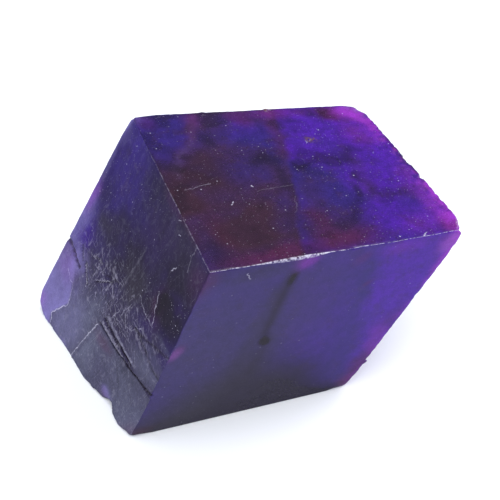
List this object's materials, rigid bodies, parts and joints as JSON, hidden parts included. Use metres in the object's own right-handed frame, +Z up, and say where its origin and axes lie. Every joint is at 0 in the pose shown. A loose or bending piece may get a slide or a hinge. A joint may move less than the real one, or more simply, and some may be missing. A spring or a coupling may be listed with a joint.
{
  "type": "raw tanzanite",
  "caption": "Leaning six-sided block of rough violet gem crystal, with flat cleavage faces, stepped ledges and nicked edges, that rests on its flat base.",
  "frame": {"origin": "on the surface the stone rests on, under the middle of its bounding box", "axes": "+X along the stone's length towards the end that overhangs, +Y from its front face to its back face, +Z up"},
  "size_m": [0.0504, 0.0308, 0.03],
  "materials": {
    "tanzanite": "raw tanzanite, dark violet and faintly see-through: cleaved and glossy on the top and front, frosted and scratched on the left end, broken in steps on the back and the overhanging end"
  },
  "bodies": {
    "root": {"tanzanite_block": "tanzanite"}
  },
  "joints": []
}
